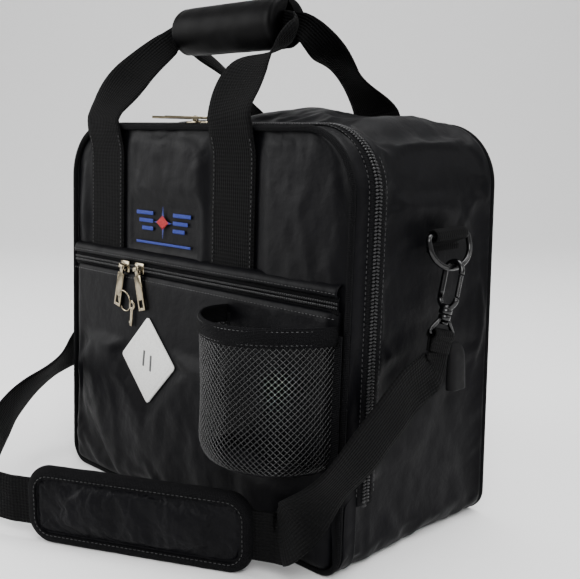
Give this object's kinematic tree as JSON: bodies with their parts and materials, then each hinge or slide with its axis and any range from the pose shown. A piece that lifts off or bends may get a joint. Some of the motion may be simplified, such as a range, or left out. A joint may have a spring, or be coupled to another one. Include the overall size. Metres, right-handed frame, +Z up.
{
  "type": "flight bag",
  "caption": "Upright soft flight bag with a zipped front lid, front pocket, mesh bottle pocket, wrapped carry handles and a padded shoulder strap on snap hooks.",
  "frame": {"origin": "middle of the flat base, on the surface the bag stands on", "axes": "+Z up, the front with the pockets faces -Y, +X to the right seen from the front"},
  "size_m": [0.4067, 0.3158, 0.421],
  "materials": {
    "shell_nylon": "crinkled nylon",
    "padded_nylon": "crinkled nylon over foam",
    "webbing": "woven",
    "piping": "satin",
    "mesh": "knitted net",
    "zip_coil": "satin",
    "zip_metal": "polished",
    "black_hardware": "gloss",
    "white_tag": "satin",
    "badge_thread": "embroidered"
  },
  "bodies": {
    "root": {"back_panel": "shell_nylon", "base_panel": "shell_nylon", "cable_port_hood": "shell_nylon", "front_handle_loop": "webbing", "front_panel_lower": "shell_nylon", "front_piping_lower": "piping", "front_pocket_lower": "shell_nylon", "grip_back": "padded_nylon", "main_zip_rear": "zip_coil", "main_zip_stops": "zip_coil", "rear_handle_leg_left": "webbing", "rear_handle_leg_right": "webbing", "rear_handle_loop": "webbing", "rear_piping": "piping", "ring_tab_left": "webbing", "ring_tab_right": "webbing", "side_panel_left": "shell_nylon", "side_panel_right": "shell_nylon", "strap_in_pad": "webbing", "strap_left": "webbing", "strap_right": "webbing", "strap_slider": "black_hardware", "top_panel": "shell_nylon"},
    "lid": {"front_panel": "shell_nylon", "lid_band": "shell_nylon", "front_piping": "piping", "main_zip_front": "zip_coil", "front_pocket": "shell_nylon", "pocket_zip": "zip_coil", "pocket_welt": "shell_nylon", "bottle_pocket": "mesh", "bottle_pocket_binding": "piping", "tag": "white_tag", "badge": "badge_thread", "front_handle_leg_left": "webbing", "front_handle_leg_right": "webbing"},
    "grip_flap": {"grip_flap": "padded_nylon"},
    "shoulder_pad": {"shoulder_pad": "padded_nylon"},
    "slider_main_left": {"slider_main_left": "zip_metal"},
    "pull_main_left": {"pull_main_left": "zip_metal"},
    "slider_main_right": {"slider_main_right": "zip_metal"},
    "pull_main_right": {"pull_main_right": "zip_metal"},
    "slider_pocket_left": {"slider_pocket_left": "zip_metal"},
    "pull_pocket_left": {"pull_pocket_left": "zip_metal", "key_ring": "zip_metal", "small_key": "zip_metal"},
    "slider_pocket_right": {"slider_pocket_right": "zip_metal"},
    "pull_pocket_right": {"pull_pocket_right": "zip_metal"},
    "ring_right": {"d_ring_right": "black_hardware", "swivel_eye_right": "black_hardware", "strap_end_right": "webbing"},
    "hook_right": {"snap_hook_right": "black_hardware"},
    "gate_right": {"hook_gate_right": "black_hardware"},
    "ring_left": {"d_ring_left": "black_hardware", "swivel_eye_left": "black_hardware", "strap_end_left": "webbing"},
    "hook_left": {"snap_hook_left": "black_hardware"},
    "gate_left": {"hook_gate_left": "black_hardware"}
  },
  "joints": [
    {"name": "lid_fold", "type": "hinge", "parent": "root", "child": "lid", "pos_m": [0, -0.0903, 0.05043], "axis": [1, 0, 0], "range_deg": [0, 8]},
    {"name": "grip_flap_fold", "type": "hinge", "parent": "root", "child": "grip_flap", "pos_m": [-0.031, 0, 0.421], "axis": [-1, 0, 0], "range_deg": [0, 75]},
    {"name": "pad_slide", "type": "slide", "parent": "root", "child": "shoulder_pad", "axis": [0.8942, 0.4478, 0], "range_m": [-0.008, 0.008]},
    {"name": "slide_main_left", "type": "slide", "parent": "root", "child": "slider_main_left", "axis": [1, 0, 0], "range_m": [-0.036, 0]},
    {"name": "lift_main_left", "type": "hinge", "parent": "slider_main_left", "child": "pull_main_left", "pos_m": [-0.024, -0.05078, 0.32451], "axis": [-0.6018, 0.7979, -0.0349], "range_deg": [0, 150]},
    {"name": "slide_main_right", "type": "slide", "parent": "root", "child": "slider_main_right", "axis": [1, 0, 0], "range_m": [0, 0.042]},
    {"name": "lift_main_right", "type": "hinge", "parent": "slider_main_right", "child": "pull_main_right", "pos_m": [-0.006, -0.05078, 0.32451], "axis": [-0.6691, 0.7424, -0.0325], "range_deg": [0, 150]},
    {"name": "slide_pocket_left", "type": "slide", "parent": "lid", "child": "slider_pocket_left", "axis": [1, 0, 0], "range_m": [-0.066, 0]},
    {"name": "lift_pocket_left", "type": "hinge", "parent": "slider_pocket_left", "child": "pull_pocket_left", "pos_m": [-0.085, -0.08584, 0.19823], "axis": [-0.9781, 0.0091, 0.2077], "range_deg": [0, 160]},
    {"name": "slide_pocket_right", "type": "slide", "parent": "lid", "child": "slider_pocket_right", "axis": [1, 0, 0], "range_m": [0, 0.095]},
    {"name": "lift_pocket_right", "type": "hinge", "parent": "slider_pocket_right", "child": "pull_pocket_right", "pos_m": [-0.064, -0.08584, 0.19823], "axis": [-0.9659, -0.0113, -0.2586], "range_deg": [0, 160]},
    {"name": "ring_swing_right", "type": "hinge", "parent": "root", "child": "ring_right", "pos_m": [0.1812, 0.02, 0.24], "axis": [0, -1, 0], "range_deg": [0, 25]},
    {"name": "hook_swivel_right", "type": "hinge", "parent": "ring_right", "child": "hook_right", "pos_m": [0.18767, 0.00898, 0.1774], "axis": [0, 0.2756, 0.9613], "range_deg": [-12, 12]},
    {"name": "gate_press_right", "type": "hinge", "parent": "hook_right", "child": "gate_right", "pos_m": [0.19487, 0.01396, 0.1948], "axis": [0, -0.9613, 0.2756], "range_deg": [0, 16], "stiffness_Nm_per_rad": 0.02},
    {"name": "ring_swing_left", "type": "hinge", "parent": "root", "child": "ring_left", "pos_m": [-0.1812, 0.02, 0.24], "axis": [0, 1, 0], "range_deg": [0, 25]},
    {"name": "hook_swivel_left", "type": "hinge", "parent": "ring_left", "child": "hook_left", "pos_m": [-0.18767, 0.00898, 0.1774], "axis": [0, 0.2756, 0.9613], "range_deg": [-12, 12]},
    {"name": "gate_press_left", "type": "hinge", "parent": "hook_left", "child": "gate_left", "pos_m": [-0.19487, 0.01396, 0.1948], "axis": [0, 0.9613, -0.2756], "range_deg": [0, 16], "stiffness_Nm_per_rad": 0.02}
  ]
}
